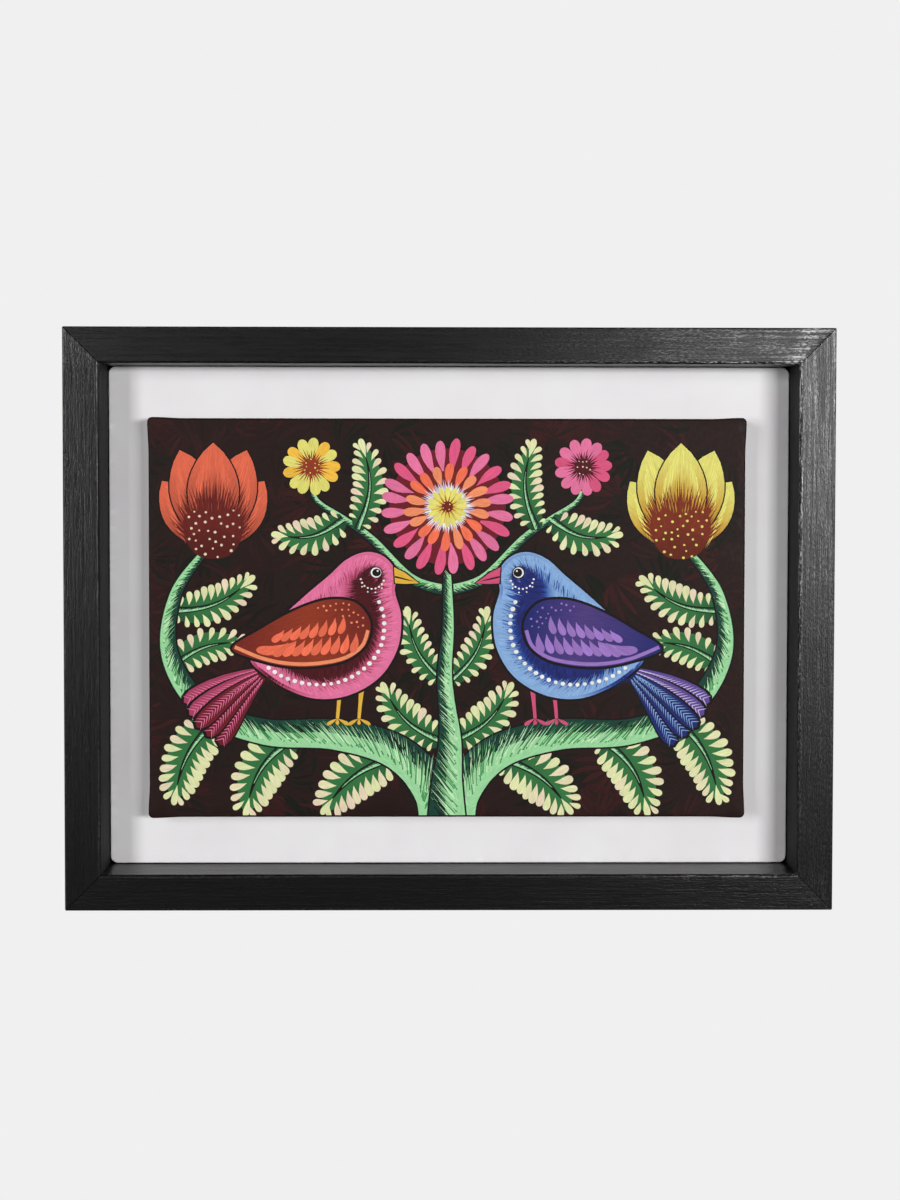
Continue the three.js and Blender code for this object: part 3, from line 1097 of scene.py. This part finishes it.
def thinned(points, lines, fixed):
    """Lines without the points that hardly bend them, apart from fixed points."""
    for _ in range(THINNING_ROUNDS):
        ends = np.concatenate([lines[:, 0], lines[:, 1]])
        others = np.concatenate([lines[:, 1], lines[:, 0]])
        order = np.argsort(ends, kind="stable")
        ends, others = ends[order], others[order]
        count = np.bincount(ends, minlength=len(points))
        first = np.searchsorted(ends, np.arange(len(points)))
        middle = np.flatnonzero((count == 2) & ~fixed)
        one, two = others[first[middle]], others[first[middle] + 1]
        way = points[two] - points[one]
        off = points[middle] - points[one]
        length = np.maximum(np.linalg.norm(way, axis=1), 1e-9)
        bend = np.abs(way[:, 0] * off[:, 1] - way[:, 1] * off[:, 0]) / length
        spare = np.zeros(len(points), bool)
        spare[middle[(bend < THINNING_MM) & (one != two)]] = True
        # Of two spare neighbours only one goes in each round
        going = spare[middle] & ~(spare[one] & (one < middle)) & ~(spare[two] & (two < middle))
        gone = np.zeros(len(points), bool)
        gone[middle[going]] = True
        bridges = np.sort(np.stack([one[going], two[going]], 1), axis=1)
        left = lines[~gone[lines].any(axis=1)]
        lines = np.unique(np.concatenate([left, bridges]), axis=0)
    return lines


def renumbered(used, faces, count):
    """Faces or lines that count through the used points alone, of all the points that there were."""
    numbers = np.full(count, -1)
    numbers[used] = np.arange(len(used))
    return [tuple(face) for face in numbers[np.array(faces)].tolist()]


def merged(points, triangles, tops, holding):
    """The same picture in fewer triangles, as no line is kept under a stroke that covers it."""
    changes, border = lines_between_strokes(triangles, tops)
    fixed = np.zeros(len(points), bool)
    fixed[border] = True
    lines = np.concatenate([thinned(points, changes, fixed), border])
    used = np.unique(np.concatenate([lines.ravel(), holding]).astype(int))
    flat, faces, _, _ = triangulated(points[used], renumbered(used, lines, len(points)), [], 0)
    under = BVHTree.FromPolygons([(x, z, 0) for x, z in points], triangles)
    kept, owners = [], []
    for face in faces:
        x, z = flat[list(face)].mean(axis=0)
        hit = under.ray_cast(Vector((x, z, 1)), Vector((0, 0, -1)))[2]
        if hit is not None:
            kept.append(face)
            owners.append(tops[hit])
    used = np.unique(kept)
    return flat[used], renumbered(used, kept, len(flat)), np.array(owners)


def lay_out_map(mesh, places, front_count, thickness):
    """A UV map that gives the painted front nearly all its room, and the sides and the back strips below."""
    x, y, z = places.T
    across = (x - x.min()) / np.ptp(x)
    up = (z - z.min()) / np.ptp(z)
    round_the_edge = (np.arctan2(z, x) / pi + 1) / 2
    depth = np.clip(-y / thickness, 0, 1)
    u = np.where(depth > 0, 0.01 + 0.98 * round_the_edge, 0.01 + 0.98 * across)
    v = np.where(depth > 0, 0.026 + 0.02 * depth, 0.004 + 0.016 * up)
    u[:front_count] = 0.01 + 0.98 * across[:front_count]
    v[:front_count] = 0.052 + 0.943 * up[:front_count]
    layer = mesh.uv_layers.new(name="OFBake")
    layer.data.foreach_set("uv", np.stack([u, v], 1).astype(np.float32).ravel())


def paint_corners(made, places, tops):
    """Gives each corner of the front its stroke's colour and direction, and the rest the ground's colour."""
    owner = np.concatenate([np.repeat(tops, 3), np.zeros(len(places) - 3 * len(tops), int)])
    colours = np.tile(np.append(GROUND, 1.0), (len(places), 1))
    bristles = np.stack([places[:, 0], places[:, 1] * 0.4, np.zeros(len(places))], 1)
    order = np.argsort(owner, kind="stable")
    starts = np.searchsorted(owner[order], np.arange(1, len(strokes) + 2))
    for number, stroke in enumerate(strokes):
        mine = order[starts[number]:starts[number + 1]]
        if not len(mine):
            continue
        here = places[mine]
        colours[mine, :3] = stroke.colour(here) if callable(stroke.colour) else stroke.colour
        along, across = here @ stroke.direction, here @ left_turned(stroke.direction)
        bristles[mine] = np.stack([along, across, np.full(len(mine), number * 1.7 % 97)], 1)
    hold(made, "paint", "CORNER", colours.clip(0, 1))
    hold(made, "bristle", "CORNER", bristles)


def make_panel():
    low, high = box_of("painted_panel")
    width, thickness, height = high - low
    eased = 2 * PANEL_EDGE_MM
    corner = PANEL_CORNER_MM - PANEL_EDGE_MM
    outline = rounded_outline(width - eased, height - eased, corner, PANEL_FLARE_MM)
    paint_picture()
    flat, triangles, tops = arranged(outline)
    points, faces = plate(flat, triangles, thickness, PANEL_EDGE_MM, 3)
    placed = points + back_middle("painted_panel")
    made = new_piece("painted_panel_picture", placed, faces, artist_paint(), "painted_panel")
    corners = points[[i for face in faces for i in face]]
    lay_out_map(made.data, corners, 3 * len(triangles), thickness)
    paint_corners(made, corners[:, (0, 2)], tops)


# The studio

def make_floor():
    mesh = bpy.data.meshes.new("floor")
    corners = [(x, y, FLOOR_Z) for x, y in ((-3, -4), (3, -4), (3, 2.3), (-3, 2.3))]
    mesh.from_pydata(corners, [], [(0, 1, 2, 3)])
    mesh.materials.append(floor_paint())
    made = bpy.data.objects.new("floor", mesh)
    bpy.context.scene.collection.objects.link(made)
    # The floor is lit by itself, and throws no light on the hanging
    made.visible_diffuse = False
    made.visible_glossy = False


def softbox(name, place, target, size, power):
    """A soft light that faces a point and isn't seen itself."""
    light = bpy.data.lights.new(name, "AREA")
    light.shape = "RECTANGLE"
    light.size, light.size_y = size
    light.energy = power
    made = bpy.data.objects.new(name, light)
    made.location = place
    made.rotation_euler = (Vector(target) - Vector(place)).to_track_quat("-Z", "Y").to_euler()
    made.visible_camera = False
    bpy.context.scene.collection.objects.link(made)


def light_scene():
    """A pale backdrop behind the hanging and a dim room in front, with two soft lights from the front."""
    world = bpy.data.worlds.new("studio")
    world.use_nodes = True
    tree = world.node_tree
    seen = node(tree, "LightPath").outputs["Is Camera Ray"]
    around = node(tree, "TexCoord").outputs["Generated"]
    behind = node(tree, "SeparateXYZ", {"Vector": around}).outputs["Y"]
    lit = mixed(tree, ranged(tree, behind, -0.12, 0.3), grey(ROOM_GREY), grey(BACKDROP_GREY))
    colour = mixed(tree, seen, lit, grey(BACKDROP_GREY))
    tree.links.new(colour, tree.nodes["Background"].inputs["Color"])
    bpy.context.scene.world = world
    bpy.context.scene.view_settings.view_transform = "Standard"
    middle = (0, -0.02, -0.13)
    softbox("key_light", (1.1, -2.22, 0.12), middle, (0.88, 0.34), 40)
    softbox("left_light", (-1.3, -2.0, 0.19), middle, (0.56, 0.95), 24.5)
    softbox("back_light", (0, 2.2, 0.7), middle, (1.4, 1.4), 8)
    # These two stand a little behind the hanging, so they light only its outer sides
    softbox("right_side_light", (1.8, 0.3, 0.1), middle, (1.2, 1.2), 6)
    softbox("left_side_light", (-1.8, 0.3, 0.1), middle, (1.2, 1.2), 6)
    softbox("floor_light", (0, -0.85, -0.6), (0, -0.85, FLOOR_Z), (8, 8), 85)


place_camera()
make_rails()
make_board()
make_panel()
make_floor()
light_scene()
